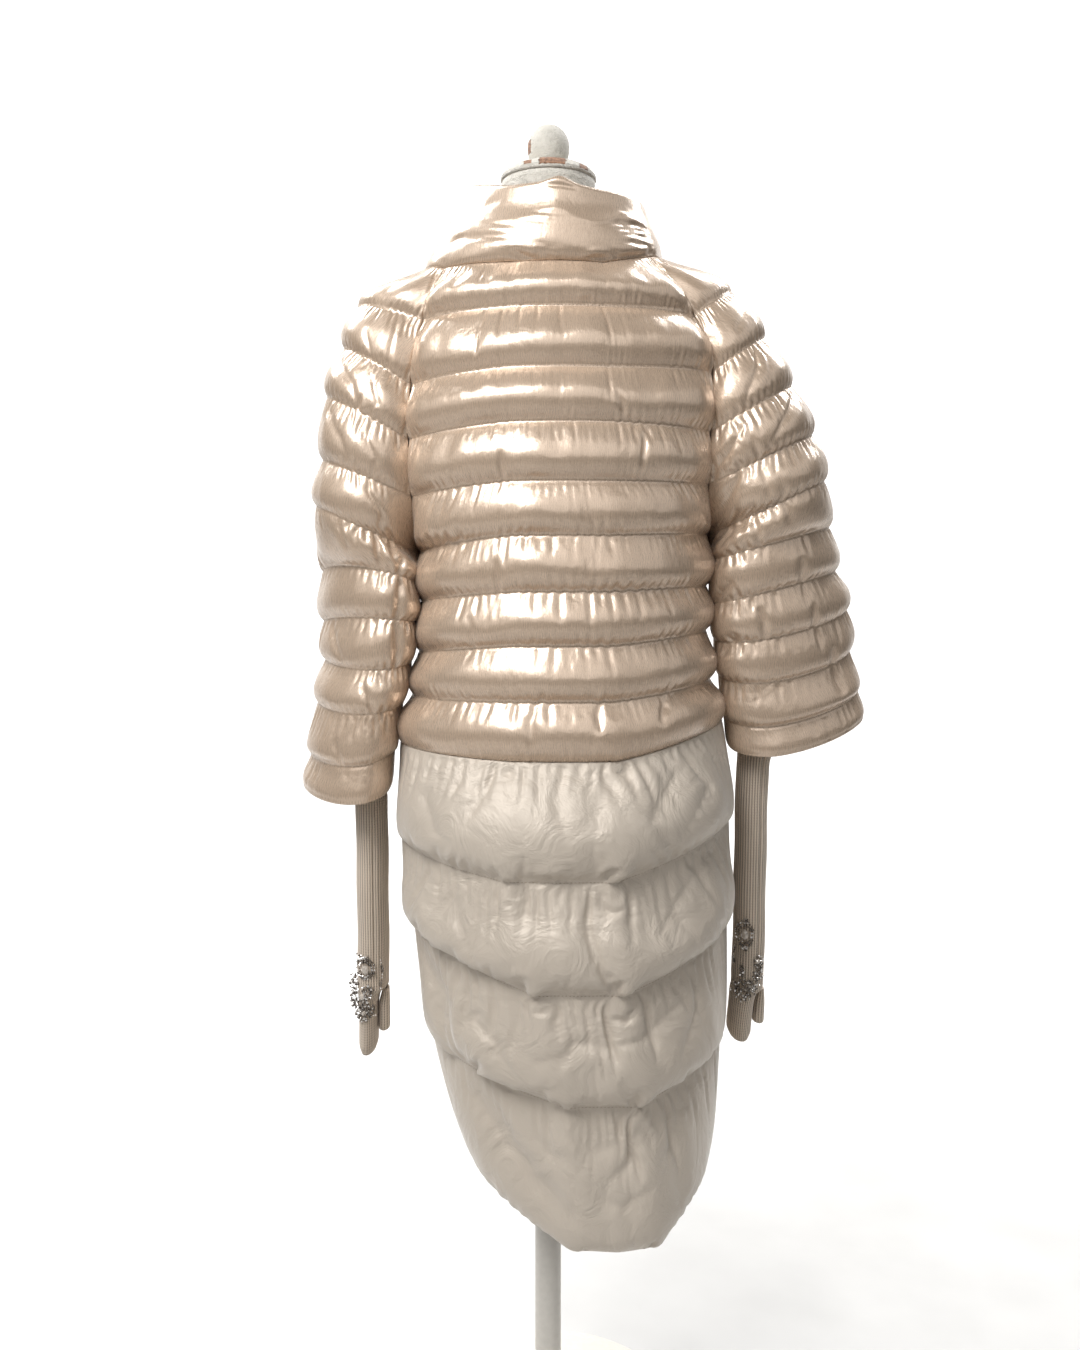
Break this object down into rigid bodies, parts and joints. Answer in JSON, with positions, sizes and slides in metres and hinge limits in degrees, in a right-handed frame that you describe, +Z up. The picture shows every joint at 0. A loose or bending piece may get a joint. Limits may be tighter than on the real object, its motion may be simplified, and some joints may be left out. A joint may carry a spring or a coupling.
{
  "type": "long puffer coat on a dress form",
  "caption": "Long quilted puffer coat with raglan sleeves, a stand collar and knit cuffs, standing on a limbless dress form with a round base.",
  "frame": {"origin": "on the floor, at the middle of the underside of the stand's round base", "axes": "+Z up; the coat's back faces -Y and its fronts face +Y; +X is the wearer's right"},
  "size_m": [0.6831, 0.3885, 1.575],
  "materials": {
    "champagne_satin": "soft satin sheen",
    "stone_cloth": "matt with a slight sheen",
    "taupe_knit": "matt ribbed knit",
    "crystal": "polished facets",
    "white_paint": "crackled matt white paint"
  },
  "bodies": {
    "root": {"back_panel": "champagne_satin", "front_panel_left": "champagne_satin", "front_panel_right": "champagne_satin", "sleeve_left": "champagne_satin", "sleeve_right": "champagne_satin", "collar": "champagne_satin", "skirt_back": "stone_cloth", "skirt_front_left": "stone_cloth", "skirt_front_right": "stone_cloth", "glove_left": "taupe_knit", "glove_right": "taupe_knit", "glove_thumb_left": "taupe_knit", "glove_thumb_right": "taupe_knit", "stone_left_1": "crystal", "stone_left_2": "crystal", "stone_left_3": "crystal", "stone_right_1": "crystal", "stone_right_2": "crystal", "stone_right_3": "crystal", "form_torso": "white_paint", "form_cap": "white_paint", "form_finial": "white_paint", "stand_pole": "white_paint", "stand_base": "white_paint"}
  },
  "joints": []
}
